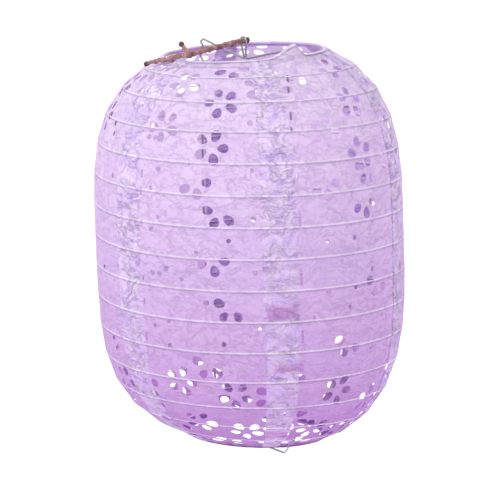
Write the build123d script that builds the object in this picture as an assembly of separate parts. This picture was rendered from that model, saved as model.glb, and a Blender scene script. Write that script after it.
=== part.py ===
"""Paper lantern: a barrel of six glued paper panels over a spiral wire, kept open by a sprung wire frame.

Millimetres, +Z up. The origin is the centre of the hanging eye. -Y is the front.
"""
from build123d import *
import math
import os

# Overall sizes of the open lantern.
body_diameter = 300.0       # paper, at its widest
body_height = 378.0         # between the paper's two edges
mouth_diameter = 155.0      # paper's inner edge at the top
base_diameter = 132.0       # paper's inner edge at the bottom
top_fullness = 4.0          # power of the upper half's curve: higher is squarer in the shoulder
base_fullness = 3.6         # the same for the lower half
side_roundness = 2.2        # power of the radius in both halves
section_arcs = 9           # arcs that make up the paper's curve from edge to edge

# Stock.
paper = 0.3                 # thickness of the panels and hem strips
ring_wire = 2.0             # diameter of the top and bottom rings
rib_wire = 1.0              # diameter of the spiral
frame_wire = 2.0            # diameter of the sprung frame
clearance = 0.1             # between pieces that touch

# Panels.
panel_count = 6
lap_width = 32.0            # glued overlap at the widest place
first_seam = -85.5          # degrees from +X, where the first panel's outer edge lies
edge_gap = 0.12             # degrees between a panel's buried edge and the step of the next
step_width = 0.9            # of paper that joins the two layers of a panel

# Spiral rib.
rib_pitch = 29.6            # along the paper, from turn to turn
rib_end_gap = 14.0          # along the paper, from its edge to the spiral's end
rib_start = 119.0           # degrees from +X, where the spiral begins under the top ring
points_per_turn = 16
rib_gap = 0.4               # between the spiral and the paper

# Hem strips, folded over the rings.
hem_outside = 3.0           # width on the outside of the panels
hem_inside = 10.0           # width on the inside

# Sprung frame. Heights are from a ring's centre to the wire's centre.
frame_angle = -57.0         # degrees from +X, of the frame's right-hand side
eye_inner_width = 6.4
eye_bend = 3.1              # inside its corners, to the wire's centre
eye_height = 10.0           # eye's centre above the paper's top edge
crossbar_dip = 5.6          # lowest point of the crossbar, below the top ring
dip_offset = 2.0            # that point's distance from the axis
shoulder_rise = 8.0         # highest point of each corner, above the top ring
shoulder_inset = 2.0        # that point, inside the ring's seat
lobe_reach = 5.6            # how far the wire stands out above and below the ring
lobe_rise = 4.6             # the upper one's height above the ring
lobe_drop = 8.0             # the lower one's depth below it
seat_height = 5.6           # straight wire that the ring lies against
neck_drop = 15.0            # where the leg begins, below the ring
neck_inset = 1.0            # and how far inside the seat
leg_bow = 18.0              # the leg's corner before it is rounded, outside the seat
leg_fill = 0.95             # share of the widest rounding that fits that corner
wedge_angle = 45.0          # degrees, of the wire that wedges into the bottom ring
wedge_rise = 6.0            # where the leg meets it, above the bottom ring
foot_drop = 12.0            # bottom bar, below the bottom ring
bend = 1.6                  # inside the tight bends, to the wire's centre
foot_bend = 4.0

# Forked twig that the eye is hooked on. Heights are from the paper's top edge to the twig's centre.
twig_end = 4.9              # diameter in the eye
twig_fork = 4.4             # diameter beside the fork
twig_tip = 3.2
twig_stub = 2.6
twig_knot = 6.4
twig_overhang = 5.0         # beyond the eye
fork_bearing = -131.54       # degrees from +X
fork_inset = 1.0            # inside the top ring
fork_rise = 5.6
rest_bearing = -162.68      # degrees from +X, of the long arm's tip
rest_reach = 20.3           # outside the top ring
rest_gap = 2.9             # from the paper's inner face up to the long arm's centre, where it comes closest
stub_offset = (-8.0, 6.0, 9.2)      # from the fork to the short arm's tip
twig_crook = 1.6            # how far the middle of an arm is out of line

top_z = -eye_height
base_z = top_z - body_height
middle_z = (top_z + base_z) / 2
half_height = body_height / 2


def curve_end(end_diameter, power):
    """Height from the middle at which a half's curve closes, for it to have end_diameter at its edge."""
    share = (end_diameter / body_diameter) ** side_roundness
    return half_height / (1 - share) ** (1 / power)


upper_close = curve_end(mouth_diameter, top_fullness)
lower_close = curve_end(base_diameter, base_fullness)


def body_radius(z):
    """Radius of the paper's inner face at height z."""
    up = z - middle_z
    close, power = (upper_close, top_fullness) if up >= 0 else (lower_close, base_fullness)
    return body_diameter / 2 * (1 - abs(up / close) ** power) ** (1 / side_roundness)


def body_table(steps=4000):
    """(distance along, radius, height) of points down the paper's inner face."""
    rows = []
    along = 0.0
    for i in range(steps + 1):
        z = top_z - body_height * i / steps
        r = body_radius(z)
        if rows:
            along += math.hypot(r - rows[-1][1], z - rows[-1][2])
        rows.append((along, r, z))
    return rows


table = body_table()
body_length = table[-1][0]


def on_body(along, out=0.0):
    """(radius, height) at that distance down the paper, moved out of its inner face by out."""
    low, high = 0, len(table) - 1
    while high - low > 1:
        mid = (low + high) // 2
        if table[mid][0] <= along:
            low = mid
        else:
            high = mid
    (s0, r0, z0), (s1, r1, z1) = table[low], table[high]
    share = (along - s0) / (s1 - s0)
    tangent = Vector(r1 - r0, z1 - z0).normalized()
    return (r0 + (r1 - r0) * share - tangent.Y * out, z0 + (z1 - z0) * share + tangent.X * out)


ring_depth = ring_wire / 2 + clearance
top_ring_r, top_ring_z = on_body(0.0, -ring_depth)
base_ring_r, base_ring_z = on_body(body_length, -ring_depth)


def wire_ring(radius, z):
    return Pos(0, 0, z) * Torus(radius, ring_wire / 2)


def band_face(inner, outer):
    """Section of the paper, edge to edge, between two depths from its inner face: a chain of arcs on each side."""
    count = 2 * section_arcs
    steps = [body_length * i / count for i in range(count + 1)]
    inside = [Vector(r, 0, z) for r, z in (on_body(s, inner) for s in steps)]
    outside = [Vector(r, 0, z) for r, z in (on_body(s, outer) for s in steps)]
    edges = [ThreePointArc(*inside[i:i + 3]) for i in range(0, count, 2)]
    edges += [ThreePointArc(*outside[i:i + 3]) for i in range(0, count, 2)]
    edges += [Line(inside[0], outside[0]), Line(inside[-1], outside[-1])]
    return make_face(Wire(edges))


lap_angle = math.degrees(lap_width / (body_diameter / 2))
panel_angle = 360 / panel_count
step_angle = math.degrees(step_width / (body_diameter / 2))
lap_depth = 2 * paper + clearance


def paper_panel(number):
    """One sheet: its first edge laps over the last panel, and its other edge is buried under the next."""
    start = first_seam + number * panel_angle
    inner_layer = band_face(0.0, paper)
    outer_layer = band_face(paper + clearance, lap_depth)
    both = band_face(0.0, lap_depth)
    seen = Rot(0, 0, start + lap_angle) * revolve(inner_layer, Axis.Z, panel_angle - edge_gap)
    lap = Rot(0, 0, start) * revolve(outer_layer, Axis.Z, lap_angle)
    step = Rot(0, 0, start + lap_angle) * revolve(both, Axis.Z, step_angle)
    return seen + lap + step


def spiral_rib():
    """The rib: one wire wound inside the paper, evenly spaced along it."""
    length = body_length - 2 * rib_end_gap
    turns = length / rib_pitch
    count = round(turns * points_per_turn)
    points = []
    for i in range(count + 1):
        share = i / count
        angle = math.radians(rib_start + 360 * turns * share)
        r, z = on_body(rib_end_gap + length * share, -(rib_wire / 2 + rib_gap))
        points.append(Vector(r * math.cos(angle), r * math.sin(angle), z))
    path = Spline(*points)
    return sweep(Plane(path @ 0, z_dir=path % 0) * Circle(rib_wire / 2), path=path, is_frenet=True)


def strip_face(points, thickness):
    """Section of a sheet whose middle follows points in the XZ plane."""
    sides = [], []
    for i, point in enumerate(points):
        along = (points[min(i + 1, len(points) - 1)] - points[max(i - 1, 0)]).normalized()
        aside = Vector(-along.Z, 0, along.X) * (thickness / 2)
        sides[0].append(point + aside)
        sides[1].append(point - aside)
    first, second = sides
    return make_face(Polyline(*first, *reversed(second), close=True))


def hem_strip(at_top):
    """Strip of paper glued over an edge of the panels, round the ring and on to their inside."""
    ring_gap = ring_wire / 2 + clearance + paper / 2
    over = lap_depth + 2 * clearance + paper / 2
    under = -(paper / 2 + 2 * clearance)
    around = [(ring_depth - ring_gap * math.sin(math.radians(a)), -ring_depth + ring_gap * math.cos(math.radians(a)))
              for a in (45, 70, 95, 120, 145, 170, 195)]
    section = [(hem_outside, over), (1.4, over), (0.1, over + 0.05), (-0.65, over - 0.4)]
    section += [(s - ring_depth, o) for s, o in around]
    section += [(2.6, -ring_depth * 1.6), (4.2, under - 0.5), (5.6, under - 0.1), (7.0, under), (8.5, under), (hem_inside, under)]
    points = []
    for along, out in section:
        s = along if at_top else body_length - along
        r, z = on_body(s, out)
        points.append(Vector(r, 0, z))
    return revolve(strip_face(points, paper), Axis.Z, 360)


seat = top_ring_r - (ring_wire / 2 + 3 * clearance + paper + frame_wire / 2)
foot_seat = base_ring_r - (ring_wire / 2 + 3 * clearance + paper + frame_wire / 2) / math.sin(math.radians(wedge_angle))


def widest_bend(before, corner, after, spare):
    """Largest rounding of a corner that leaves a spare length of both its straights."""
    a, b = Vector(before[0], 0, before[1]) - Vector(corner[0], 0, corner[1]), Vector(after[0], 0, after[1]) - Vector(corner[0], 0, corner[1])
    return (min(a.length, b.length) - spare) * math.tan(math.radians(a.get_angle(b) / 2))


def frame_side():
    """Corners of the wire down one side, as (across, height, bend)."""
    slope = math.tan(math.radians(wedge_angle))
    neck = (seat - neck_inset, top_ring_z - neck_drop)
    bow = (seat + leg_bow, middle_z)
    wedge = (foot_seat + wedge_rise / slope, base_ring_z + wedge_rise)
    return [
        (seat - shoulder_inset, top_ring_z + shoulder_rise, bend),
        (seat + lobe_reach, top_ring_z + lobe_rise, bend),
        (seat, top_ring_z + seat_height / 2, bend / 2),
        (seat, top_ring_z - seat_height / 2, bend / 2),
        (seat + lobe_reach, top_ring_z - lobe_drop, bend),
        (*neck, bend),
        (*bow, leg_fill * widest_bend(neck, bow, wedge, 2 * foot_bend)),
        (*wedge, foot_bend),
        (foot_seat - foot_drop / slope, base_ring_z - foot_drop, foot_bend),
    ]


def expander_frame():
    """One wire, bent round until its ends meet: eye, crossbar, both legs and the foot."""
    eye = eye_inner_width / 2 + frame_wire / 2
    dip_z = top_ring_z - crossbar_dip
    foot_z = base_ring_z - foot_drop
    halves = []
    for side in (1, -1):
        corners = [(side * eye, eye, eye_bend), (side * eye, -eye_inner_width / 2, eye_bend), (dip_offset + side * frame_wire * 0.55, dip_z, bend)]
        corners += [(side * x, z, r) for x, z, r in frame_side()]
        points = [Vector(0, 0, eye)] + [Vector(x, 0, z) for x, z, _ in corners] + [Vector(0, 0, foot_z)]
        path = FilletPolyline(*points, radius=[r for _, _, r in corners])
        halves.append(sweep(Plane(path @ 0, z_dir=path % 0) * Circle(frame_wire / 2), path=path))
    return Rot(0, 0, frame_angle) * (halves[0] + halves[1])


def branch(start, end, start_diameter, end_diameter, crook):
    """A tapered, slightly crooked stem."""
    a, b = Vector(*start), Vector(*end)
    along = (b - a).normalized()
    aside = along.cross(Vector(0, 0, 1)).normalized()
    upward = aside.cross(along)
    shares = (0.0, 0.22, 0.47, 0.73, 1.0)
    bows = ((0, 0), (0.9, 0.5), (0.2, 1.0), (-0.7, 0.4), (0, 0))
    sections = []
    for share, (side, up) in zip(shares, bows):
        at = a + (b - a) * share + aside * (crook * side) + upward * (crook * up)
        diameter = start_diameter + (end_diameter - start_diameter) * share
        sections.append(Plane(at, z_dir=along) * Circle(diameter / 2))
    return loft(sections)


def shoulder_height(radius):
    """Height of the paper's inner face over the shoulder, at a radius."""
    return middle_z + upper_close * (1 - (2 * radius / body_diameter) ** side_roundness) ** (1 / top_fullness)


def arm_end_height(fork, x, y, steps=40):
    """Height of the long arm's tip, for the arm from the fork to lie rest_gap over the paper."""
    heights = []
    for i in range(steps // 4, steps + 1):
        share = i / steps
        radius = math.hypot(fork[0] + (x - fork[0]) * share, fork[1] + (y - fork[1]) * share)
        heights.append(fork[2] + (shoulder_height(radius) + rest_gap - fork[2]) / share)
    return max(heights)


def hanging_twig():
    across, out = math.radians(fork_bearing), math.radians(rest_bearing)
    fork_r, rest_r = top_ring_r - fork_inset, top_ring_r + rest_reach
    fork = (fork_r * math.cos(across), fork_r * math.sin(across), top_z + fork_rise)
    rest = (rest_r * math.cos(out), rest_r * math.sin(out), arm_end_height(fork, rest_r * math.cos(out), rest_r * math.sin(out)))
    stub = tuple(a + b for a, b in zip(fork, stub_offset))
    reach = math.sqrt(sum(v * v for v in fork))
    past = tuple(-v / reach * twig_overhang for v in fork)
    in_eye = eye_inner_width / 2 - twig_end / 2 - clearance
    past = (past[0], past[1], past[2] + in_eye)
    twig = Pos(*fork) * Sphere(twig_knot / 2) + branch(fork, past, twig_fork, twig_end, twig_crook)
    twig += branch(fork, rest, twig_fork, twig_tip, twig_crook)
    return twig + branch(fork, stub, twig_fork, twig_stub, twig_crook / 4)


os.makedirs("parts", exist_ok=True)
export_step(wire_ring(top_ring_r, top_ring_z), "parts/top_ring.step")
export_step(wire_ring(base_ring_r, base_ring_z), "parts/bottom_ring.step")
export_step(spiral_rib(), "parts/spiral_rib.step")
for number in range(panel_count):
    export_step(paper_panel(number), f"parts/paper_panel_{number + 1}.step")
export_step(hem_strip(True), "parts/top_hem.step")
export_step(hem_strip(False), "parts/bottom_hem.step")
export_step(expander_frame(), "parts/expander_frame.step")
export_step(hanging_twig(), "parts/hanging_twig.step")
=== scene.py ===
"""A hanging paper lantern, built round its packed wire frame."""
import math
import random

import bpy
import numpy as np
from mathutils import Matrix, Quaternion, Vector, noise
from mathutils.geometry import delaunay_2d_cdt


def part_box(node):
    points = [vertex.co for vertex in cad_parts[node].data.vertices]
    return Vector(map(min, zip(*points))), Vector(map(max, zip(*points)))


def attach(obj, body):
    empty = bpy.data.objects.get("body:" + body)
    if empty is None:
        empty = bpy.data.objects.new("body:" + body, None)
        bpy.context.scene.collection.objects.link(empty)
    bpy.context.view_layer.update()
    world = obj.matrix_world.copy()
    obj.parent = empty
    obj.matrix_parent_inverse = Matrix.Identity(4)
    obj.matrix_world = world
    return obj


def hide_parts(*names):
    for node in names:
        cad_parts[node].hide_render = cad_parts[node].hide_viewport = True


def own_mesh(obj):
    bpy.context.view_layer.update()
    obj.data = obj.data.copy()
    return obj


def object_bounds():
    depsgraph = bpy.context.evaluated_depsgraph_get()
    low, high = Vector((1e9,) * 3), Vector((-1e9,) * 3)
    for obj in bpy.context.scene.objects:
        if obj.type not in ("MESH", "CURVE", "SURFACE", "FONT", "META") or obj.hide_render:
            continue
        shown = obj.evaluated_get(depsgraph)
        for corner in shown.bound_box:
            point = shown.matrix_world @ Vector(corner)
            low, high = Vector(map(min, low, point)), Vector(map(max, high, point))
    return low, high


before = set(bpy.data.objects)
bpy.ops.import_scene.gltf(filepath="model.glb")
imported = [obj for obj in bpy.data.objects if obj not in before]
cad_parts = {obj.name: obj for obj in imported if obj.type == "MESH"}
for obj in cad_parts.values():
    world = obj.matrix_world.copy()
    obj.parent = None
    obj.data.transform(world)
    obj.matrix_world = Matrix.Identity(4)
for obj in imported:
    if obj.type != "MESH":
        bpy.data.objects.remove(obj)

bl_info = {
    "name": "Hanging paper lantern",
    "version": (1, 0, 0),
    "blender": (4, 5, 0),
    "location": "View3D > Sidebar > Lantern",
    "description": "Builds a punched paper lantern round its wire frame",
    "category": "Add Mesh",
}

CAD_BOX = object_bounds()

# The paper's curve, as the solids have it. Metres.
BODY_RADIUS = 0.150
BODY_HEIGHT = 0.378
MOUTH_RADIUS = 0.0775
BASE_RADIUS = 0.066
TOP_Z = -0.010
TOP_FULLNESS, BASE_FULLNESS, SIDE_ROUNDNESS = 4.0, 3.6, 2.2
PANELS = [f"paper_panel_{i + 1}" for i in range(6)]
FIRST_SEAM = math.radians(-85.5)
LAP_ANGLE = 0.032 / BODY_RADIUS
PANEL_ANGLE = math.tau / len(PANELS)
RIB_PITCH, RIB_END_GAP, RIB_START, RIB_RADIUS = 0.0296, 0.014, math.radians(119.0), 0.0005
RIB_DEPTH = 0.0009       # from the paper's curve in to the spiral's centre
RIM_PULL = 0.0115        # height of the peak that the frame's hook pulls in the rim
RIM_PULL_DEPTH = 0.011   # how far down the paper the peak dies away
RIM_PULL_LEFT, RIM_PULL_RIGHT = math.radians(12), math.radians(5.5)
END_REACH = 0.13         # how far in from each end the tilts reach
HOOK_ANGLE = math.radians(-53.0)
FOOT_ANGLE = math.radians(-57.0)
RING_RADIUS = 0.001


def body_curve(steps=4000):
    """Distance along, radius and height of points down the paper, with the outward normal at each."""
    half = BODY_HEIGHT / 2
    up = np.linspace(half, -half, steps + 1)

    def close(end, power):
        return half / (1 - (end / BODY_RADIUS) ** SIDE_ROUNDNESS) ** (1 / power)

    above = np.abs(up / close(MOUTH_RADIUS, TOP_FULLNESS)) ** TOP_FULLNESS
    below = np.abs(up / close(BASE_RADIUS, BASE_FULLNESS)) ** BASE_FULLNESS
    r = BODY_RADIUS * (1 - np.where(up >= 0, above, below)) ** (1 / SIDE_ROUNDNESS)
    z = up + TOP_Z - half
    along = np.concatenate([[0.0], np.cumsum(np.hypot(np.diff(r), np.diff(z)))])
    dr, dz = np.gradient(r, along), np.gradient(z, along)
    return along, r, z, -dz, dr


ALONG, CURVE_R, CURVE_Z, NORMAL_R, NORMAL_Z = body_curve()
BODY_LENGTH = float(ALONG[-1])
CURVATURE = np.hypot(np.gradient(NORMAL_R, ALONG), np.gradient(NORMAL_Z, ALONG))


def on_curve(values, s):
    return np.interp(s, ALONG, values)


def rib_phase(theta, s):
    """Share of the way from one turn of the spiral to the next."""
    return ((s - RIB_END_GAP) / RIB_PITCH - (theta - RIB_START) / math.tau) % 1.0


def rib_distance(theta, s):
    """Signed distance to the nearest turn of the spiral, positive below it."""
    phase = rib_phase(theta, s)
    return np.where(phase > 0.5, phase - 1.0, phase) * RIB_PITCH


def rim_lift(theta, s):
    """How far the frame's hook pulls the rim of the mouth up."""
    off = (theta - HOOK_ANGLE + math.pi) % math.tau - math.pi
    wide = np.where(off < 0, RIM_PULL_LEFT, RIM_PULL_RIGHT)
    return RIM_PULL * np.exp(-(off / wide) ** 2) * np.exp(-((s / RIM_PULL_DEPTH) ** 2))


def settle(points, s):
    """Tilts the two ends as the sprung frame leaves them: the mouth a little, the base about the foot."""
    shape = bpy.context.scene.lantern_paper
    points = np.array(points, float)
    top = np.clip(1 - s / END_REACH, 0, 1)
    base = np.clip(1 - (BODY_LENGTH - s) / END_REACH, 0, 1)
    top, base = top * top * (3 - 2 * top), base * base * (3 - 2 * base)
    aside = points[:, 0] * math.sin(FOOT_ANGLE) - points[:, 1] * math.cos(FOOT_ANGLE)
    mouth, foot = math.tan(shape.mouth_tilt), math.tan(shape.base_tilt)
    points[:, 2] += mouth * points[:, 0] * top + foot * aside * base
    return points


def paper_point(theta, s, out=0.0, crumple=1.0):
    """Arrays of positions on the wrinkled paper."""
    paper = bpy.context.scene.lantern_paper
    r, z = on_curve(CURVE_R, s), on_curve(CURVE_Z, s)
    nr, nz = on_curve(NORMAL_R, s), on_curve(NORMAL_Z, s)
    phase = rib_phase(theta, s)
    ends = np.clip(np.minimum(s, BODY_LENGTH - s) / 0.012, 0, 1)
    sag = (on_curve(CURVATURE, s) * RIB_PITCH ** 2 / 8 + paper.sag) * 4 * phase * (1 - phase) * ends
    cos, sin = np.cos(theta), np.sin(theta)
    flat = np.stack([r * cos, r * sin, z], axis=-1)
    wrinkle = np.empty(len(flat))
    for i, (x, y, h) in enumerate(flat):
        p = Vector((x, y, h))
        big = noise.noise(p * 22 + Vector((3, 1, 7)))
        pulled = noise.noise(Vector((math.atan2(y, x) * 9 + h * 14, h * 30, 2.0)))
        fine = 1 - 2 * abs(noise.noise(p * 70 + Vector((big, 0, 9)) * 2))
        small = noise.noise(p * 190)
        wrinkle[i] = 0.5 * big + 0.45 * pulled + 0.42 * fine + 0.16 * small
    free = 0.25 + 0.75 * np.sin(np.pi * phase) ** 0.6
    d = out - sag + wrinkle * paper.wrinkle * crumple * free * (0.35 + 0.65 * ends)
    r2, z2 = r + nr * d, z + nz * d + rim_lift(theta, s)
    return settle(np.stack([r2 * cos, r2 * sin, z2], axis=-1), s)


# Holes punched in the two front sheets, each given as: turns of the spiral down from the mouth, the share
# of the way across the sheet, and for a flower its petals.
LEFT_FRONT, RIGHT_FRONT = 5, 0
FRONT_FLOWERS = {
    LEFT_FRONT: (
        (1.3, 0.4, 5), (2.0, 0.75, 5), (0.5, 0.8, 5), (2.9, 0.35, 5), (3.5, 0.7, 5), (11.1, 0.45, 5), (11.5, 0.8, 5),
        (12.9, 0.5, 5), (13.3, 0.85, 5), (11.5, 0.15, 5), (4.6, 0.6, 3), (5.5, 0.75, 3), (7.0, 0.7, 3), (8.5, 0.8, 3),
        (10.4, 0.65, 3), (3.6, 0.1, 3), (13.2, 0.25, 3),
    ),
    RIGHT_FRONT: (
        (1.5, 0.35, 5), (2.6, 0.15, 5), (3.1, 0.45, 5), (0.8, 0.8, 5), (2.2, 0.75, 5), (3.9, 0.7, 5), (11.5, 0.5, 5),
        (12.6, 0.2, 5), (12.1, 0.85, 5), (13.2, 0.4, 5), (4.7, 0.4, 3), (4.4, 0.75, 3), (5.4, 0.7, 3), (9.8, 0.55, 3),
        (8.0, 0.8, 3), (10.7, 0.15, 3),
    ),
}
FRONT_DOTS = {
    LEFT_FRONT: (
        (3.3, 0.25), (3.3, 0.3), (4.3, 0.35), (4.9, 0.3), (4.2, 0.95), (2.7, 0.95), (5.8, 0.35), (5.7, 0.95),
        (6.2, 0.3),
        (6.7, 0.15), (6.8, 0.6), (7.6, 0.3), (7.6, 0.35), (7.4, 0.4), (7.7, 0.5), (7.4, 0.95), (8.3, 0.1), (8.4, 0.65),
        (9.3, 0.3), (9.1, 0.4), (9.9, 0.4), (9.7, 0.75), (10.1, 0.15), (9.1, 0.15), (5.4, 0.15), (6.4, 0.8),
    ),
    RIGHT_FRONT: (
        (4.2, 0.1), (5.1, 0.4), (6.1, 0.55), (6.5, 0.4), (6.5, 0.6), (7.4, 0.1), (7.6, 0.75), (8.1, 0.4), (8.1, 0.6),
        (8.7, 0.55), (9.2, 0.85), (9.5, 0.5), (10.1, 0.5), (10.2, 0.75), (6.7, 0.8), (7.2, 0.5), (8.9, 0.3), (5.8, 0.8),
    ),
}
# Upright slots beside the front lap: turns down and millimetres tall.
LAP_SLOTS = ((3.6, 7), (4.5, 8), (5.8, 18), (7.6, 14), (9.5, 12), (10.6, 12))


def place_on(number, turns, share):
    """Flat place of a hole given by turns of the spiral and share across, in millimetres."""
    across = share * PANEL_ANGLE
    theta = (FIRST_SEAM + number * PANEL_ANGLE + across + math.pi) % math.tau - math.pi
    down = RIB_END_GAP + RIB_PITCH * ((theta - RIB_START) / math.tau + turns)
    return across * BODY_RADIUS * 1000, down * 1000


def petal_loop(u, v, distance, turn, length, width, stretch, count=12):
    """Corners of one punched petal in the flat sheet, in millimetres."""
    loop = []
    for i in range(count):
        t = math.tau * i / count
        x = distance + length / 2 * math.cos(t)
        y = width / 2 * math.sin(t) * (1 + 0.22 * math.cos(t))
        px, py = x * math.cos(turn) - y * math.sin(turn), x * math.sin(turn) + y * math.cos(turn)
        loop.append((u + px * stretch, v + py))
    return loop


def sheet_holes(number, width):
    """The holes punched in one sheet."""
    paper = bpy.context.scene.lantern_paper
    rng = random.Random(40 + number)
    length, r0 = BODY_LENGTH * 1000, BODY_RADIUS * 1000
    flowers, dots = [], []
    for turns, share, petals in FRONT_FLOWERS.get(number, ()):
        flowers.append((*place_on(number, turns, share), rng.uniform(0, 1.2), petals))
    dots.extend(place_on(number, turns, share) for turns, share in FRONT_DOTS.get(number, ()))
    placed = [(f[0], f[1]) for f in flowers] + dots
    for _ in range(400):
        s = rng.uniform(14, length - 14)
        middle = (80 < s < length - 120) if number in (2, 3, 4) else (125 < s < length - 135)
        u = rng.uniform(9, width - 9)
        shrink = on_curve(CURVE_R, s / 1000) / BODY_RADIUS
        apart = 33 if not middle else 40
        if all(math.hypot((u - a) * shrink, s - b) > apart for a, b in placed):
            placed.append((u, s))
            if middle and (number in (2, 3, 4) or rng.random() < 0.72):
                for _ in range(rng.choice((1, 2, 3))):
                    dots.append((u + rng.uniform(-15, 15), s + rng.uniform(-13, 13)))
            else:
                flowers.append((u, s, rng.uniform(0, 1.2), 3 if middle else 5))
    loops = []
    for u, s, turn, petals in flowers:
        stretch = BODY_RADIUS / on_curve(CURVE_R, s / 1000)
        for k in range(petals):
            size = rng.uniform(0.86, 1.08) * 1000
            loops.append(petal_loop(u, s, paper.flower * 500, turn + math.tau * k / 5, paper.petal_length * size,
                                    paper.petal_width * size, stretch))
    for u, s in dots:
        stretch = BODY_RADIUS / on_curve(CURVE_R, np.clip(s, 0, length) / 1000)
        size = rng.uniform(0.8, 1.2) * paper.dot * 1000
        loops.append(petal_loop(u, s, 0, rng.uniform(0, 3), size, size * rng.uniform(0.75, 1), stretch, 10))
    slots = [(rng.uniform(60, length - 40), rng.uniform(4, 9)) for _ in range(11 if number in (1, 5) else 4)]
    if number == RIGHT_FRONT:
        slots = [(place_on(number, turns, 0.25)[1], tall) for turns, tall in LAP_SLOTS]
    for s, tall in slots:
        stretch = BODY_RADIUS / on_curve(CURVE_R, s / 1000)
        wide = rng.uniform(1.9, 2.5) * stretch
        u = LAP_ANGLE * r0 + 2.2 + wide / 2
        middles = [(sum(x for x, _ in hole) / len(hole), sum(y for _, y in hole) / len(hole)) for hole in loops]
        if all(abs(x - u) > 9 or abs(y - s) > 12 for x, y in middles):
            left, right, high, low = u - wide / 2, u + wide / 2, s - tall / 2, s + tall / 2
            loops.append([(left, high), (right, high), (right, low), (left, low)])
    return [hole for hole in loops if all(2.0 < x < width - 2.0 and 3.0 < y < length - 3.0 for x, y in hole)]


def inside(points, loop):
    """Which points lie inside a loop."""
    x, y = points[:, 0], points[:, 1]
    result = np.zeros(len(points), bool)
    for (x1, y1), (x2, y2) in zip(loop, loop[1:] + loop[:1]):
        if y1 != y2:
            crosses = (y1 > y) != (y2 > y)
            result ^= crosses & (x < (x2 - x1) * (y - y1) / (y2 - y1) + x1)
    return result


def cut_sheet(number):
    """Flat corners and triangles of one punched sheet, in millimetres at the lantern's widest."""
    step = bpy.context.scene.lantern_paper.grid * 1000
    width = (PANEL_ANGLE + LAP_ANGLE) * BODY_RADIUS * 1000
    length = BODY_LENGTH * 1000
    start = FIRST_SEAM + number * PANEL_ANGLE
    columns, rows = round(width / step), round(length / (step * 0.87))
    grid = []
    for j in range(1, rows):
        for i in range(columns):
            u = width * (i + (0.5 if j % 2 else 0.0)) / columns
            if 0.6 < u < width - 0.6:
                grid.append((u, length * j / rows))
    grid = np.array(grid)
    theta = start + grid[:, 0] / 1000 / BODY_RADIUS
    grid = grid[np.abs(rib_distance(theta, grid[:, 1] / 1000)) > 0.0009]
    loops = sheet_holes(number, width)
    for loop in loops:
        middle = np.mean(loop, axis=0)
        grown = [tuple(middle + (np.array(p) - middle) * 1.22) for p in loop]
        grid = grid[~inside(grid, grown)]
    points = [Vector(p) for p in grid]
    edges = []

    def chain(line, closed):
        first = len(points)
        points.extend(Vector(p) for p in line)
        edges.extend((first + i, first + i + 1) for i in range(len(line) - 1))
        if closed:
            edges.append((len(points) - 1, first))

    across = [width * i / columns for i in range(columns + 1)]
    down = [length * j / rows for j in range(1, rows)]
    top, right = [(u, 0.0) for u in across], [(width, v) for v in down]
    base, left = [(u, length) for u in reversed(across)], [(0.0, v) for v in reversed(down)]
    chain(top + right + base + left, True)
    for loop in loops:
        chain(loop, True)
    for turn in range(-1, 17):
        line = []
        for i in range(1, columns):
            u = across[i]
            v = (RIB_END_GAP + RIB_PITCH * ((start + u / 1000 / BODY_RADIUS - RIB_START) / math.tau + turn)) * 1000
            if 6 < v < length - 6:
                line.append((u, v))
        if len(line) > 1:
            chain(line, False)
    corners, _, faces, _, _, _ = delaunay_2d_cdt(points, edges, [], 1, 1e-5)
    corners = np.array([(p.x, p.y) for p in corners])
    faces = np.array(faces)
    centres = corners[faces].mean(axis=1)
    keep = np.ones(len(faces), bool)
    for loop in loops:
        keep &= ~inside(centres, loop)
    return corners, faces[keep], width


def new_piece(name, corners, faces, body, smooth=True):
    """A mesh piece that rides on a body of the frame."""
    mesh = bpy.data.meshes.new(name)
    mesh.from_pydata([tuple(map(float, c)) for c in corners], [], [tuple(map(int, f)) for f in faces])
    mesh.validate()
    mesh.update()
    if smooth:
        mesh.polygons.foreach_set("use_smooth", [True] * len(mesh.polygons))
    piece = bpy.data.objects.new(name, mesh)
    bpy.context.scene.collection.objects.link(piece)
    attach(piece, body)
    return piece


def set_values(piece, name, values):
    attribute = piece.data.attributes.new(name, "FLOAT", "POINT")
    attribute.data.foreach_set("value", np.asarray(values, np.float32))


def fold_with_shell(piece):
    """Gives the piece its own copy of its mesh."""
    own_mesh(piece)


# Materials

# The second colour is the painted highlight along each turn of the wire.
PALE_FIBRE, WIRE_HIGHLIGHT_PAINT = (0.93, 0.88, 1.0), (0.98, 0.95, 1.0)
FLOOR_GLOW, ROOM_LIGHT = 0.28, 0.72


def add(nodes, kind, **settings):
    """A node with its own settings and its inputs' values."""
    node = nodes.new(kind)
    for name, value in settings.items():
        if name in node.bl_rna.properties:
            setattr(node, name, value)
        else:
            node.inputs[name.replace("_", " ")].default_value = value
    return node


def new_material(name):
    material = bpy.data.materials.new(name)
    material.use_nodes = True
    nodes, links = material.node_tree.nodes, material.node_tree.links
    nodes.clear()
    return material, nodes, links


def ramp(nodes, stops):
    node = nodes.new("ShaderNodeValToRGB")
    band = node.color_ramp
    while len(band.elements) < len(stops):
        band.elements.new(0.5)
    for element, (position, colour) in zip(band.elements, stops):
        element.position = position
        element.color = colour if len(colour) == 4 else (*colour, 1)
    return node


def mix_colour(nodes, links, factor, a, b, blend="MIX"):
    node = nodes.new("ShaderNodeMix")
    node.data_type = "RGBA"
    node.blend_type = blend
    node.clamp_factor = True
    for index, value in ((0, factor), (6, a), (7, b)):
        if isinstance(value, bpy.types.NodeSocket):
            links.new(value, node.inputs[index])
        elif index == 0:
            node.inputs[0].default_value = value
        else:
            node.inputs[index].default_value = (*value, 1)
    return node.outputs[2]


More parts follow.
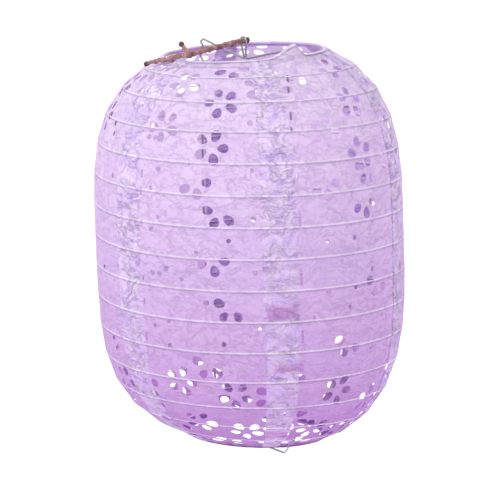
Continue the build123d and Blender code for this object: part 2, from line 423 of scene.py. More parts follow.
def math_node(nodes, links, operation, *values, clamp=False):
    node = nodes.new("ShaderNodeMath")
    node.operation = operation
    node.use_clamp = clamp
    for index, value in enumerate(values):
        if isinstance(value, bpy.types.NodeSocket):
            links.new(value, node.inputs[index])
        else:
            node.inputs[index].default_value = value
    return node.outputs[0]


def span(nodes, links, value, low, high, to_low=0.0, to_high=1.0, smooth=False):
    node = nodes.new("ShaderNodeMapRange")
    node.interpolation_type = "SMOOTHSTEP" if smooth else "LINEAR"
    links.new(value, node.inputs[0])
    for index, number in zip((1, 2, 3, 4), (low, high, to_low, to_high)):
        node.inputs[index].default_value = number
    return node.outputs[0]


def paper_material(name, deep=False):
    """Thin crumpled paper that light comes through, with its laps and glue, painted light and shade from mouth to base,
    painted shade along its creases, painted highlight and shadow lines at each turn of the wire, and for the hems
    painted shade on the inner flap.
    """
    paper = bpy.context.scene.lantern_paper
    material, nodes, links = new_material(name)
    place = add(nodes, "ShaderNodeTexCoord").outputs["Object"]
    apart = nodes.new("ShaderNodeSeparateXYZ")
    links.new(place, apart.inputs[0])
    # The paper's lavender, with painted light making it paler towards the mouth and painted shade making it darker
    # towards the base.
    height = span(nodes, links, apart.outputs[2], TOP_Z - BODY_HEIGHT, TOP_Z)
    tone = ramp(nodes, [(0.0, paper.painted_base_shade_colour), (0.2, paper.painted_lower_shade_colour), (0.5, paper.colour),
                        (0.86, paper.painted_shoulder_light_colour), (1.0, paper.painted_top_light_colour)])
    links.new(height, tone.inputs[0])
    cloud = add(nodes, "ShaderNodeTexNoise", Scale=26.0, Detail=5.0, Roughness=0.6)
    links.new(place, cloud.inputs["Vector"])
    fibre = add(nodes, "ShaderNodeTexNoise", Scale=420.0, Detail=4.0, Roughness=0.7)
    links.new(place, fibre.inputs["Vector"])
    warp = nodes.new("ShaderNodeVectorMath")
    warp.operation = "MULTIPLY_ADD"
    links.new(cloud.outputs["Color"], warp.inputs[0])
    warp.inputs[1].default_value = (0.03, 0.03, 0.03)
    links.new(place, warp.inputs[2])
    flat = nodes.new("ShaderNodeVectorMath")
    flat.operation = "MULTIPLY"
    links.new(warp.outputs[0], flat.inputs[0])
    flat.inputs[1].default_value = (1.0, 1.0, 1.9)
    facets = []
    for scale in (38.0, 120.0):
        cells = add(nodes, "ShaderNodeTexVoronoi", Scale=scale)
        links.new(flat.outputs[0], cells.inputs["Vector"])
        facets.append(cells.outputs["Distance"])
    ridge = add(nodes, "ShaderNodeTexNoise", Scale=48.0, Detail=5.0, Roughness=0.60, Distortion=0.35)
    links.new(flat.outputs[0], ridge.inputs["Vector"])
    sharp = math_node(nodes, links, "ABSOLUTE", math_node(nodes, links, "SUBTRACT", ridge.outputs["Fac"], 0.5))
    hidden = span(nodes, links, cloud.outputs["Fac"], 0.48, 0.72)
    creases = math_node(nodes, links, "MAXIMUM", span(nodes, links, sharp, 0.0, 0.026), hidden)
    cloudy = span(nodes, links, cloud.outputs["Fac"], 0.35, 0.72, 0.0, 0.30)
    colour = mix_colour(nodes, links, cloudy, tone.outputs[0], paper.cloud_tint_and_crease_shadow_colour)
    fibrous = span(nodes, links, fibre.outputs["Fac"], 0.45, 0.75, 0.0, 0.16)
    colour = mix_colour(nodes, links, fibrous, colour, PALE_FIBRE)
    # Painted shade: the paper is darkened along the crease lines of its wrinkles.
    colour = mix_colour(nodes, links, span(nodes, links, creases, 0.0, 1.0, 0.26, 0.0), colour, paper.cloud_tint_and_crease_shadow_colour)
    if deep:
        # Hem paper: a slight tint on the outer face, and painted shade on the flap folded inside the rim.
        inner = add(nodes, "ShaderNodeAttribute", attribute_name="inner").outputs["Fac"]
        colour = mix_colour(nodes, links, span(nodes, links, inner, 0.0, 1.0, 0.10, 0.55), colour, paper.hem_tint_and_inner_shade_colour)
    else:
        lap = add(nodes, "ShaderNodeAttribute", attribute_name="lap").outputs["Fac"]
        rib = add(nodes, "ShaderNodeAttribute", attribute_name="rib").outputs["Fac"]
        glue = add(nodes, "ShaderNodeAttribute", attribute_name="glue").outputs["Fac"]
        mottle = add(nodes, "ShaderNodeTexNoise", Scale=60.0, Detail=4.0, Roughness=0.65)
        links.new(flat.outputs[0], mottle.inputs["Vector"])
        patchy = span(nodes, links, mottle.outputs["Fac"], 0.46, 0.60)
        double = math_node(nodes, links, "MULTIPLY", lap, 0.42)
        colour = mix_colour(nodes, links, double, colour, paper.double_colour)
        stuck = math_node(nodes, links, "MULTIPLY", math_node(nodes, links, "MULTIPLY", lap, patchy), 0.5)
        colour = mix_colour(nodes, links, stuck, colour, paper.lap_colour)
        colour = mix_colour(nodes, links, glue, colour, paper.glue_colour)
        # Painted shadow: a darker line just below each turn of the spiral wire. Painted highlight: a pale line along
        # the wire itself.
        below = math_node(nodes, links, "SUBTRACT", span(nodes, links, rib, 0.0004, 0.0009, smooth=True),
                          span(nodes, links, rib, 0.0012, 0.0030, smooth=True))
        painted_highlight_on_wire = math_node(nodes, links, "SUBTRACT", span(nodes, links, rib, -0.0016, -0.0006, smooth=True),
                            span(nodes, links, rib, 0.0002, 0.0006, smooth=True))
        colour = mix_colour(nodes, links, math_node(nodes, links, "MULTIPLY", below, 0.42), colour, paper.painted_wire_shadow_colour)
        colour = mix_colour(nodes, links, math_node(nodes, links, "MULTIPLY", painted_highlight_on_wire, 0.72), colour, WIRE_HIGHLIGHT_PAINT)
    surface = add(nodes, "ShaderNodeBsdfPrincipled", Roughness=0.62)
    surface.inputs["Specular IOR Level"].default_value = 0.22
    links.new(colour, surface.inputs["Base Color"])
    through = nodes.new("ShaderNodeBsdfTranslucent")
    deeper = mix_colour(nodes, links, 0.45, colour, paper.through_colour, blend="MULTIPLY")
    links.new(deeper, through.inputs["Color"])
    bump = add(nodes, "ShaderNodeBump", Strength=0.6, Distance=0.0034)
    relief = math_node(nodes, links, "ADD", math_node(nodes, links, "MULTIPLY", facets[0], 1.6),
                       math_node(nodes, links, "MULTIPLY", facets[1], 0.9))
    relief = math_node(nodes, links, "ADD", relief, math_node(nodes, links, "MULTIPLY", creases, 0.22))
    hairs = math_node(nodes, links, "MULTIPLY", fibre.outputs["Fac"], 0.12)
    relief = math_node(nodes, links, "ADD", relief, hairs)
    if not deep:
        links.new(span(nodes, links, lap, 0.0, 1.0, 0.7, 1.0), bump.inputs["Strength"])
    links.new(relief, bump.inputs["Height"])
    links.new(bump.outputs[0], surface.inputs["Normal"])
    links.new(bump.outputs[0], through.inputs["Normal"])
    blend = nodes.new("ShaderNodeMixShader")
    if deep:
        blend.inputs[0].default_value = paper.translucency * 0.5
    else:
        thick = paper.translucency * 0.55
        links.new(span(nodes, links, lap, 0.0, 1.0, paper.translucency, thick), blend.inputs[0])
    links.new(surface.outputs[0], blend.inputs[1])
    links.new(through.outputs[0], blend.inputs[2])
    output = nodes.new("ShaderNodeOutputMaterial")
    links.new(blend.outputs[0], output.inputs[0])
    return material


def wire_material(name, colour, metallic, roughness, wear):
    """Drawn or coated wire with fine streaks and scuffs."""
    material, nodes, links = new_material(name)
    place = add(nodes, "ShaderNodeTexCoord").outputs["Object"]
    streak = add(nodes, "ShaderNodeTexNoise", Scale=900.0, Detail=3.0)
    links.new(place, streak.inputs["Vector"])
    scuff = add(nodes, "ShaderNodeTexNoise", Scale=110.0, Detail=6.0, Roughness=0.7)
    links.new(place, scuff.inputs["Vector"])
    worn = span(nodes, links, scuff.outputs["Fac"], 0.5, 0.72, 0.0, wear)
    tint = mix_colour(nodes, links, worn, colour, tuple(c * 0.45 for c in colour))
    surface = add(nodes, "ShaderNodeBsdfPrincipled", Metallic=metallic)
    links.new(tint, surface.inputs["Base Color"])
    streaky = span(nodes, links, streak.outputs["Fac"], 0.3, 0.7, roughness - 0.08, roughness + 0.1)
    links.new(streaky, surface.inputs["Roughness"])
    bump = add(nodes, "ShaderNodeBump", Strength=0.2, Distance=0.0001)
    links.new(streak.outputs["Fac"], bump.inputs["Height"])
    links.new(bump.outputs[0], surface.inputs["Normal"])
    output = nodes.new("ShaderNodeOutputMaterial")
    links.new(surface.outputs[0], output.inputs[0])
    return material


def bark_material():
    """Thin brown-pink bark with pale lenticels and dark buds."""
    twig = bpy.context.scene.lantern_twig
    material, nodes, links = new_material("bark")
    place = add(nodes, "ShaderNodeTexCoord").outputs["Object"]
    patches = add(nodes, "ShaderNodeTexNoise", Scale=190.0, Detail=6.0, Roughness=0.65)
    links.new(place, patches.inputs["Vector"])
    specks = add(nodes, "ShaderNodeTexVoronoi", Scale=620.0)
    links.new(place, specks.inputs["Vector"])
    bud = add(nodes, "ShaderNodeAttribute", attribute_name="bud").outputs["Fac"]
    tone = ramp(nodes, [(0.30, twig.dark_colour), (0.50, twig.colour), (0.72, twig.light_colour)])
    links.new(patches.outputs["Fac"], tone.inputs[0])
    lenticels = span(nodes, links, specks.outputs["Distance"], 0.10, 0.22, 0.55, 0.0)
    colour = mix_colour(nodes, links, lenticels, tone.outputs[0], twig.light_colour)
    colour = mix_colour(nodes, links, bud, colour, twig.bud_colour)
    surface = add(nodes, "ShaderNodeBsdfPrincipled", Roughness=0.72)
    surface.inputs["Specular IOR Level"].default_value = 0.3
    links.new(colour, surface.inputs["Base Color"])
    bump = add(nodes, "ShaderNodeBump", Strength=0.7, Distance=0.0006)
    links.new(patches.outputs["Fac"], bump.inputs["Height"])
    links.new(bump.outputs[0], surface.inputs["Normal"])
    output = nodes.new("ShaderNodeOutputMaterial")
    links.new(surface.outputs[0], output.inputs[0])
    return material


def plain_material(name, colour):
    """Matt paint that glows a little, so the floor stays white."""
    material, nodes, links = new_material(name)
    place = add(nodes, "ShaderNodeTexCoord").outputs["Object"]
    soft = add(nodes, "ShaderNodeTexNoise", Scale=1.5, Detail=2.0)
    links.new(place, soft.inputs["Vector"])
    surface = add(nodes, "ShaderNodeBsdfPrincipled", Roughness=0.9)
    uneven = span(nodes, links, soft.outputs["Fac"], 0.3, 0.7, 0.0, 0.03)
    tint = mix_colour(nodes, links, uneven, colour, tuple(c * 0.95 for c in colour))
    links.new(tint, surface.inputs["Base Color"])
    surface.inputs["Emission Color"].default_value = (1, 1, 1, 1)
    surface.inputs["Emission Strength"].default_value = FLOOR_GLOW
    output = nodes.new("ShaderNodeOutputMaterial")
    links.new(surface.outputs[0], output.inputs[0])
    return material


def dress(node, material):
    """Gives a node of the frame its finish."""
    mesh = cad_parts[node].data
    mesh.materials.clear()
    mesh.materials.append(material)
    mesh.polygons.foreach_set("use_smooth", [True] * len(mesh.polygons))


def tube(points, radii, sides=12):
    """Corners and faces of a round bar along points."""
    corners, faces = [], []
    aside = None
    for i, point in enumerate(points):
        along = (points[min(i + 1, len(points) - 1)] - points[max(i - 1, 0)]).normalized()
        if aside is None:
            aside = along.orthogonal().normalized()
        aside = (aside - along * aside.dot(along)).normalized()
        other = along.cross(aside)
        for k in range(sides):
            t = math.tau * k / sides
            corners.append(point + (aside * math.cos(t) + other * math.sin(t)) * radii[i])
    for i in range(len(points) - 1):
        for k in range(sides):
            a, b = i * sides + k, i * sides + (k + 1) % sides
            faces.append((a, b, b + sides, a + sides))
    faces.append(tuple(range(sides))[::-1])
    last = (len(points) - 1) * sides
    faces.append(tuple(range(last, last + sides)))
    return corners, faces


# Settings

class LanternPaper(bpy.types.PropertyGroup):
    """The punched paper."""
    sag: bpy.props.FloatProperty(
        name="Sag", description="How far the paper sinks between two turns of the wire",
        default=0.0003, subtype="DISTANCE", unit="LENGTH")
    wrinkle: bpy.props.FloatProperty(
        name="Wrinkles", description="Height of the paper's wrinkles",
        default=0.0006, subtype="DISTANCE", unit="LENGTH")
    grid: bpy.props.FloatProperty(
        name="Grid", description="Spacing of the paper's mesh", default=0.0028, subtype="DISTANCE", unit="LENGTH")
    flower: bpy.props.FloatProperty(
        name="Flower", description="Diameter of the ring that a flower's petals are punched on",
        default=0.0225, subtype="DISTANCE", unit="LENGTH")
    petal_length: bpy.props.FloatProperty(
        name="Petal length", description="Length of a punched petal",
        default=0.0112, subtype="DISTANCE", unit="LENGTH")
    petal_width: bpy.props.FloatProperty(
        name="Petal width", description="Width of a punched petal", default=0.0088, subtype="DISTANCE", unit="LENGTH")
    dot: bpy.props.FloatProperty(
        name="Dot", description="Diameter of a punched dot", default=0.0052, subtype="DISTANCE", unit="LENGTH")
    mouth_tilt: bpy.props.FloatProperty(
        name="Mouth tilt", description="Rise of the mouth towards +X",
        default=math.radians(1.1), subtype="ANGLE", unit="ROTATION")
    base_tilt: bpy.props.FloatProperty(
        name="Base tilt", description="Tilt of the base about the frame's foot",
        default=math.radians(4.4), subtype="ANGLE", unit="ROTATION")
    translucency: bpy.props.FloatProperty(
        name="Translucency", description="Share of the light that comes through",
        default=0.40, min=0, max=1, subtype="FACTOR")
    # Colours from mouth to base: the paper's lavender with painted light at the mouth and shoulder, and painted shade
    # lower down and at the base.
    painted_top_light_colour: bpy.props.FloatVectorProperty(
        name="Top", description="Paper colour at the mouth", default=(0.95, 0.87, 0.99), subtype="COLOR")
    painted_shoulder_light_colour: bpy.props.FloatVectorProperty(
        name="Shoulder", description="Paper colour at the shoulder", default=(0.92, 0.79, 0.98), subtype="COLOR")
    colour: bpy.props.FloatVectorProperty(
        name="Middle", description="Paper colour half way down", default=(0.80, 0.62, 0.89), subtype="COLOR")
    painted_lower_shade_colour: bpy.props.FloatVectorProperty(
        name="Lower", description="Paper colour above the base", default=(0.70, 0.45, 0.79), subtype="COLOR")
    painted_base_shade_colour: bpy.props.FloatVectorProperty(
        name="Base", description="Paper colour at the bottom", default=(0.46, 0.17, 0.57), subtype="COLOR")
    # Colour of the cloudy tint in the paper, and of the painted shade along its creases.
    cloud_tint_and_crease_shadow_colour: bpy.props.FloatVectorProperty(
        name="Creases", description="Tint of creases and clouds in the paper",
        default=(0.58, 0.40, 0.80), subtype="COLOR")
    lap_colour: bpy.props.FloatVectorProperty(
        name="Laps", description="Tint where two sheets lie together", default=(0.60, 0.40, 0.92), subtype="COLOR")
    double_colour: bpy.props.FloatVectorProperty(
        name="Double paper", description="Colour of the paper where it is double",
        default=(0.88, 0.74, 1.0), subtype="COLOR")
    glue_colour: bpy.props.FloatVectorProperty(
        name="Glue", description="Tint of glue stains", default=(0.50, 0.19, 0.60), subtype="COLOR")
    # Colour of the painted shadow line under each turn of the wire.
    painted_wire_shadow_colour: bpy.props.FloatVectorProperty(
        name="Wire lines", description="Tint under each turn of the wire",
        default=(0.34, 0.22, 0.50), subtype="COLOR")
    # Tint of the hems, and the painted shade on their inner flaps.
    hem_tint_and_inner_shade_colour: bpy.props.FloatVectorProperty(
        name="Hem", description="Colour of the folded hems", default=(0.46, 0.24, 0.66), subtype="COLOR")
    through_colour: bpy.props.FloatVectorProperty(
        name="Light through", description="Tint of light that comes through",
        default=(0.92, 0.70, 1.0), subtype="COLOR")


class LanternWire(bpy.types.PropertyGroup):
    """The rings, the spiral and the sprung frame."""
    coat_colour: bpy.props.FloatVectorProperty(
        name="Coating", description="Colour of the rings and the spiral", default=(0.86, 0.84, 0.88), subtype="COLOR")
    steel_colour: bpy.props.FloatVectorProperty(
        name="Steel", description="Colour of the sprung frame", default=(0.44, 0.44, 0.46), subtype="COLOR")
    sides: bpy.props.IntProperty(name="Sides", description="Sides of the spiral's wire", default=8, min=4)


class LanternTwig(bpy.types.PropertyGroup):
    """The forked twig."""
    knobbliness: bpy.props.FloatProperty(
        name="Knobbliness", description="Height of the bark's lumps",
        default=0.0006, subtype="DISTANCE", unit="LENGTH")
    colour: bpy.props.FloatVectorProperty(
        name="Bark", description="Main bark colour", default=(0.34, 0.17, 0.17), subtype="COLOR")
    light_colour: bpy.props.FloatVectorProperty(
        name="Light bark", description="Pale patches of the bark", default=(0.62, 0.38, 0.37), subtype="COLOR")
    dark_colour: bpy.props.FloatVectorProperty(
        name="Dark bark", description="Dark patches of the bark", default=(0.16, 0.07, 0.08), subtype="COLOR")
    bud_colour: bpy.props.FloatVectorProperty(
        name="Buds", description="Colour of the buds and cut ends", default=(0.07, 0.03, 0.035), subtype="COLOR")


class LanternStage(bpy.types.PropertyGroup):
    """Floor, light and camera."""
    elevation: bpy.props.FloatProperty(
        name="Elevation", description="Height of the camera above level",
        default=math.radians(10.88), subtype="ANGLE", unit="ROTATION")
    roll: bpy.props.FloatProperty(
        name="Roll", description="Tilt of the camera about its own line",
        default=math.radians(-1.83), subtype="ANGLE", unit="ROTATION")
    distance: bpy.props.FloatProperty(
        name="Distance", description="From the camera to the middle of the lantern",
        default=2.474, subtype="DISTANCE", unit="LENGTH")
    lens: bpy.props.FloatProperty(name="Lens", description="Focal length in millimetres", default=182.4)
    floor_drop: bpy.props.FloatProperty(
        name="Floor", description="How far the floor lies below the lantern",
        default=0.55, subtype="DISTANCE", unit="LENGTH")
    floor_colour: bpy.props.FloatVectorProperty(
        name="Floor colour", description="Colour of the floor", default=(0.93, 0.93, 0.93), subtype="COLOR")


# Glue stains on the front lap: degrees round from the front, metres down the paper, half width, half height
# and strength.
GLUE_STAINS = (
    (11.0, 0.2555, 0.0165, 0.0085, 0.62),
    (13.0, 0.3095, 0.0150, 0.0045, 0.55),
    (10.0, 0.398, 0.0120, 0.0100, 0.5),
    (12.0, 0.341, 0.010, 0.004, 0.25),
)


class LANTERN_OT_panels(bpy.types.Operator):
    """Cut, punch, wrinkle and hang the six sheets of paper"""
    bl_idname = "lantern.panels"
    bl_label = "Paper panels"

    def execute(self, context):
        material = paper_material("lavender_paper")
        for number, node in enumerate(PANELS):
            corners, faces, width = cut_sheet(number)
            start = FIRST_SEAM + number * PANEL_ANGLE
            u, s = corners[:, 0] / 1000, corners[:, 1] / 1000
            theta = start + u / BODY_RADIUS
            lap = LAP_ANGLE * BODY_RADIUS
            outer = 1 - np.clip((u - lap + 0.001) / 0.003, 0, 1)
            crumple = 1 + 0.8 * np.clip(1 - np.abs(u - lap / 2) / (lap * 0.62), 0, 1)
            positions = paper_point(theta, s, 0.0002 + 0.0005 * outer, crumple)
            piece = new_piece(f"punched_{node}", positions, faces, "shell_base")
            piece.data.materials.append(material)
            turned = PANEL_ANGLE * BODY_RADIUS
            set_values(piece, "lap", np.where((u < lap) | (u > turned), 1.0, 0.0))
            set_values(piece, "rib", rib_distance(theta, s))
            azimuth = (np.degrees(theta) + 90 + 180) % 360 - 180
            glue = np.zeros(len(u))
            for where, down, wide, tall, share in GLUE_STAINS:
                across = np.abs(azimuth - where) * math.pi / 180 * on_curve(CURVE_R, s)
                ragged = np.array([0.0018 * noise.noise(Vector((a * 70, b * 900, where))) for a, b in zip(u, s)])
                near = np.clip((wide - across + ragged) / 0.002, 0, 1)
                near = near * np.clip((tall - np.abs(s - down) + 1.5 * ragged) / 0.003, 0, 1)
                glue = np.maximum(glue, near * share)
            set_values(piece, "glue", glue)
            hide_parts(node)
            fold_with_shell(piece)
        return {"FINISHED"}


def hem_section():
    """Points of the strip folded over a ring: how far along the paper, and how far out from it."""
    depth, gap, over = 0.0011, 0.00128, 0.00105
    points = [(0.0030, over), (0.0016, over), (0.0004, over), (-0.0006, over - 0.0005)]
    for a in (45, 70, 95, 120, 145, 170, 195):
        points.append((-gap * math.sin(math.radians(a)), -depth + gap * math.cos(math.radians(a))))
    points += [(0.0026, -0.00176), (0.0042, -0.00085), (0.0056, -0.00052)]
    return points + [(along, -0.00045) for along in (0.0070, 0.0085, 0.0100)]


class LANTERN_OT_hems(bpy.types.Operator):
    """Fold the two hem strips over their rings"""
    bl_idname = "lantern.hems"
    bl_label = "Hems"

    def execute(self, context):
        material = paper_material("hem_paper", deep=True)
        around = 420
        section = hem_section()
        for node, body, at_top in (("top_hem", "shell_top", True), ("bottom_hem", "shell_base", False)):
            corners, faces, places = [], [], []
            theta = np.arange(around) * math.tau / around
            for along, out in section:
                s = along if at_top else BODY_LENGTH - along
                base_s = min(max(s, 0.0), BODY_LENGTH)
                extra = s - base_s
                r, z = on_curve(CURVE_R, base_s), on_curve(CURVE_Z, base_s)
                nr, nz = on_curve(NORMAL_R, base_s), on_curve(NORMAL_Z, base_s)
                tr, tz = nz, -nr
                for t in theta:
                    ripple = 0.00018 * noise.noise(Vector((math.cos(t) * 9, math.sin(t) * 9, along * 400)))
                    share = min(1.0, max(0.0, 1.15 - max(along, 0) / 0.012)) if at_top else 0.0
                    lift = float(rim_lift(t, 0.0)) * share
                    rr = r + tr * extra + nr * (out + ripple)
                    zz = z + tz * extra + nz * (out + ripple) + lift
                    corners.append((rr * math.cos(t), rr * math.sin(t), zz))
                    places.append(base_s)
            corners = settle(corners, np.array(places))
            for j in range(len(section) - 1):
                for i in range(around):
                    a, b = j * around + i, j * around + (i + 1) % around
                    faces.append((a, b, b + around, a + around))
            piece = new_piece(f"folded_{node}", corners, faces, body)
            set_values(piece, "inner", [1.0 if out < -0.0002 else 0.0 for _, out in section for _ in range(around)])
            piece.data.materials.append(material)
            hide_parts(node)
            if not at_top:
                fold_with_shell(piece)
        return {"FINISHED"}


class LANTERN_OT_spiral(bpy.types.Operator):
    """Wind the spiral wire inside the paper"""
    bl_idname = "lantern.spiral"
    bl_label = "Spiral rib"

    def execute(self, context):
        wire = context.scene.lantern_wire
        length = BODY_LENGTH - 2 * RIB_END_GAP
        turns = length / RIB_PITCH
        count = round(turns * 90)
        points, places = [], []
        for i in range(count + 1):
            s = RIB_END_GAP + length * i / count
            angle = RIB_START + math.tau * turns * i / count
            d = -RIB_DEPTH
            r = on_curve(CURVE_R, s) + on_curve(NORMAL_R, s) * d
            z = on_curve(CURVE_Z, s) + on_curve(NORMAL_Z, s) * d
            points.append((r * math.cos(angle), r * math.sin(angle), z))
            places.append(s)
        points = [Vector(p) for p in settle(points, np.array(places))]
        corners, faces = tube(points, [RIB_RADIUS] * len(points), wire.sides)
        piece = new_piece("wound_spiral_rib", corners, faces, "shell_base")
        piece.data.materials.append(wire_material("white_wire", tuple(wire.coat_colour), 0.0, 0.38, 0.25))
        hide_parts("spiral_rib")
        fold_with_shell(piece)
        return {"FINISHED"}


class LANTERN_OT_wires(bpy.types.Operator):
    """Bend the two rings and finish the sprung frame"""
    bl_idname = "lantern.wires"
    bl_label = "Rings and frame"

    def execute(self, context):
        wire = context.scene.lantern_wire
        # The rings wear the coating that came with the frame, where it has one.
        coated = bpy.data.materials.get("white_wire") or wire_material(
            "white_wire", tuple(wire.coat_colour), 0.0, 0.38, 0.25)
        around, sides = 240, 12
        for node, body, s in (("top_ring", "shell_top", 0.0), ("bottom_ring", "shell_base", BODY_LENGTH)):
            low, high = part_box(node)
            radius, height = (high.x - low.x) / 2 - RING_RADIUS, (high.z + low.z) / 2
            corners, faces = [], []
            for i in range(around):
                t, turn = math.tau * i / around, i * sides
                for k in range(sides):
                    a = math.tau * k / sides
                    r = radius + RING_RADIUS * math.cos(a)
                    corners.append((r * math.cos(t), r * math.sin(t), height + RING_RADIUS * math.sin(a)))
                    after = (turn + sides) % (around * sides)
                    faces.append((turn + k, after + k, after + (k + 1) % sides, turn + (k + 1) % sides))
            piece = new_piece(f"bent_{node}", settle(corners, np.full(len(corners), s)), faces, body)
            piece.data.materials.append(coated)
            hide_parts(node)
            if body == "shell_base":
                fold_with_shell(piece)
        dress("expander_frame", wire_material("bare_wire", tuple(wire.steel_colour), 1.0, 0.3, 0.4))
        return {"FINISHED"}


# The twig's fork, its end on the rim, its short arm's end, and its end in the hanging eye.
TWIG_PLACES = (
    (-0.0505, -0.057, -0.0044), (-0.093, -0.029, -0.0152), (-0.0585, -0.051, 0.0048), (0.0031, 0.0032, 0.0006),
)
TWIG_MESH = 0.0005


class LANTERN_OT_twig(bpy.types.Operator):
    """Grow the forked twig through the hanging eye"""
    bl_idname = "lantern.twig"
    bl_label = "Twig"

    def execute(self, context):
        twig = context.scene.lantern_twig
        fork, rest, stub, end = (Vector(place) for place in TWIG_PLACES)
        stems = (
            (fork, end, 0.0024, 0.00255, 0.0016, 46),
            (fork, rest, 0.0025, 0.0018, 0.0016, 30),
            (fork, stub, 0.0023, 0.0017, 0.0004, 12),
        )
        corners, faces, buds = [], [], []

        def join(more):
            first = len(corners)
            corners.extend(more[0])
            faces.extend(tuple(first + k for k in face) for face in more[1])

        for index, (a, b, ra, rb, crook, count) in enumerate(stems):
            along = (b - a).normalized()
            aside = along.cross(Vector((0, 0, 1))).normalized()
            up = aside.cross(along)
            points, radii = [], []
            for i in range(count + 1):
                t = i / count
                side = math.sin(t * math.pi) * math.sin(t * 7.5 + 0.6) * 0.75
                rise = math.sin(t * math.pi) * (0.5 + 0.35 * math.sin(t * 9))
                at = a.lerp(b, t) + aside * crook * side + up * crook * rise
                knot = 0.00045 * math.exp(-((t * count * 1.7 % 9 - 4.5) / 1.2) ** 2)
                points.append(at)
                radii.append(ra + (rb - ra) * t + knot + 0.0002 * noise.noise(at * 300))
            join(tube(points, radii, 14))
            buds.append((b, 0.0027 if index else 0.0033))
        buds += [(fork, 0.0034), (fork.lerp(end, 0.33), 0.0029), (fork.lerp(end, 0.72), 0.0029),
                 (fork.lerp(rest, 0.42), 0.0026), (fork.lerp(rest, 0.78), 0.0025)]
        for place, size in buds:
            ball = []
            for j in range(9):
                h = math.cos(math.pi * j / 8)
                ball.append((place + Vector((0, 0, size * h)), max(size * math.sin(math.pi * j / 8), size * 0.05)))
            join(tube([p for p, _ in ball], [r for _, r in ball], 14))
        piece = new_piece("bark_twig", corners, faces, "frame")
        remesh = piece.modifiers.new("one_skin", "REMESH")
        remesh.mode = "VOXEL"
        remesh.voxel_size = TWIG_MESH
        remesh.use_smooth_shade = True
        context.view_layer.update()
        whole = bpy.data.meshes.new_from_object(piece.evaluated_get(context.evaluated_depsgraph_get()))
        piece.modifiers.clear()
        piece.data = whole
        rough, bud = [], []
        for vertex in whole.vertices:
            p = vertex.co.copy()
            lump = noise.noise(p * 240) + 0.5 * noise.noise(p * 700)
            rough.append(p + vertex.normal * twig.knobbliness * lump)
            near = max(1 - (p - place).length / (size * (1.5 if n < 3 else 1.1))
                       for n, (place, size) in enumerate(buds))
            bud.append(min(1.0, max(0.0, near * 2.4)))
        for vertex, p in zip(whole.vertices, rough):
            vertex.co = p
        whole.polygons.foreach_set("use_smooth", [True] * len(whole.polygons))
        set_values(piece, "bud", bud)
        whole.materials.clear()
        whole.materials.append(bark_material())
        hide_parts("hanging_twig")
        return {"FINISHED"}


# Name, place from the lantern's middle, diameter, watts and colour of each lamp.
LAMPS = (
    ("key", (-1.3, -1.3, 1.5), 0.9, 26, (1.0, 1.0, 0.98)),
    ("top", (0.2, 0.3, 1.9), 1.6, 2, (1.0, 1.0, 1.0)),
    ("fill", (1.7, -1.2, 0.1), 1.6, 6, (1.0, 0.86, 0.95)),
    ("back", (0.5, 1.6, 0.6), 1.8, 2, (1.0, 0.97, 1.0)),
)
LOOK_BELOW, LOOK_LEFT = 0.0053, 0.0002   # from the lantern's middle to where the camera looks
FLOOR_SIDE, FLOOR_FRONT, FLOOR_BACK, FLOOR_BEND, WALL = 7.0, -6.0, 2.2, 1.6, 7.0


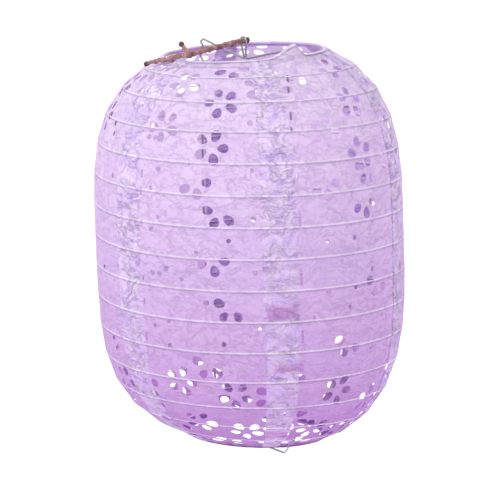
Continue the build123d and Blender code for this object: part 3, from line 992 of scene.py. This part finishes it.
class LANTERN_OT_stage(bpy.types.Operator):
    """Set the floor, the lights and the camera"""
    bl_idname = "lantern.stage"
    bl_label = "Floor, light and camera"

    def execute(self, context):
        stage, scene = context.scene.lantern_stage, context.scene
        low = CAD_BOX[0][2] - stage.floor_drop
        profile = [(FLOOR_FRONT, low), (FLOOR_BACK, low)]
        for i in range(1, 13):
            a = math.pi / 2 * i / 12
            profile.append((FLOOR_BACK + FLOOR_BEND * math.sin(a), low + FLOOR_BEND * (1 - math.cos(a))))
        profile.append((FLOOR_BACK + FLOOR_BEND, low + WALL))
        corners, faces = [], []
        for y, z in profile:
            corners += [(-FLOOR_SIDE, y, z), (FLOOR_SIDE, y, z)]
        for i in range(len(profile) - 1):
            faces.append((2 * i, 2 * i + 1, 2 * i + 3, 2 * i + 2))
        mesh = bpy.data.meshes.new("floor")
        mesh.from_pydata(corners, [], faces)
        mesh.polygons.foreach_set("use_smooth", [True] * len(mesh.polygons))
        floor = bpy.data.objects.new("floor", mesh)
        mesh.materials.append(plain_material("floor", tuple(stage.floor_colour)))
        scene.collection.objects.link(floor)
        middle = Vector((0, 0, TOP_Z - BODY_HEIGHT / 2))
        for name, place, size, power, colour in LAMPS:
            data = bpy.data.lights.new(name, "AREA")
            data.shape, data.size, data.energy, data.color = "DISK", size, power, colour
            light = bpy.data.objects.new(name, data)
            light.location = middle + Vector(place)
            light.rotation_mode = "QUATERNION"
            light.rotation_quaternion = (middle - light.location).to_track_quat("-Z", "Y")
            scene.collection.objects.link(light)
        world = bpy.data.worlds.new("pale_room")
        world.use_nodes = True
        room = world.node_tree.nodes["Background"]
        room.inputs[0].default_value = (1, 1, 1, 1)
        room.inputs[1].default_value = ROOM_LIGHT
        scene.world = world
        scene.view_settings.view_transform = "Standard"
        data = bpy.data.cameras.new("camera")
        data.lens, data.sensor_width, data.clip_end = stage.lens, 36, 50
        camera = bpy.data.objects.new("camera", data)
        scene.collection.objects.link(camera)
        back = Vector((0, -math.cos(stage.elevation), math.sin(stage.elevation)))
        above = Vector((0, math.sin(stage.elevation), math.cos(stage.elevation)))
        camera.location = middle + back * stage.distance
        target = middle - above * LOOK_BELOW + Vector((-LOOK_LEFT, 0, 0))
        camera.rotation_mode = "QUATERNION"
        level = (target - camera.location).to_track_quat("-Z", "Y")
        camera.rotation_quaternion = level @ Quaternion((0, 0, 1), stage.roll)
        scene.camera = camera
        return {"FINISHED"}


OPERATORS = (
    LANTERN_OT_panels, LANTERN_OT_hems, LANTERN_OT_spiral, LANTERN_OT_wires, LANTERN_OT_twig, LANTERN_OT_stage,
)
SETTINGS = (
    ("lantern_paper", LanternPaper), ("lantern_wire", LanternWire),
    ("lantern_twig", LanternTwig), ("lantern_stage", LanternStage),
)


class LANTERN_PT_panel(bpy.types.Panel):
    """Settings and pieces of the lantern"""
    bl_idname = "LANTERN_PT_panel"
    bl_label = "Paper lantern"
    bl_space_type = "VIEW_3D"
    bl_region_type = "UI"
    bl_category = "Lantern"

    def draw(self, context):
        for name, group in SETTINGS:
            box = self.layout.box()
            box.label(text=group.__doc__)
            for setting in group.__annotations__:
                box.prop(getattr(context.scene, name), setting)
        for operator in OPERATORS:
            self.layout.operator(operator.bl_idname)


def register():
    for name, group in SETTINGS:
        bpy.utils.register_class(group)
        setattr(bpy.types.Scene, name, bpy.props.PointerProperty(type=group))
    for operator in OPERATORS:
        bpy.utils.register_class(operator)
    bpy.utils.register_class(LANTERN_PT_panel)


def unregister():
    bpy.utils.unregister_class(LANTERN_PT_panel)
    for operator in reversed(OPERATORS):
        bpy.utils.unregister_class(operator)
    for name, group in reversed(SETTINGS):
        delattr(bpy.types.Scene, name)
        bpy.utils.unregister_class(group)


def main():
    register()
    bpy.ops.lantern.panels()
    bpy.ops.lantern.hems()
    bpy.ops.lantern.spiral()
    bpy.ops.lantern.wires()
    bpy.ops.lantern.twig()
    bpy.ops.lantern.stage()
    bpy.context.view_layer.update()


if __name__ == "__main__":
    main()
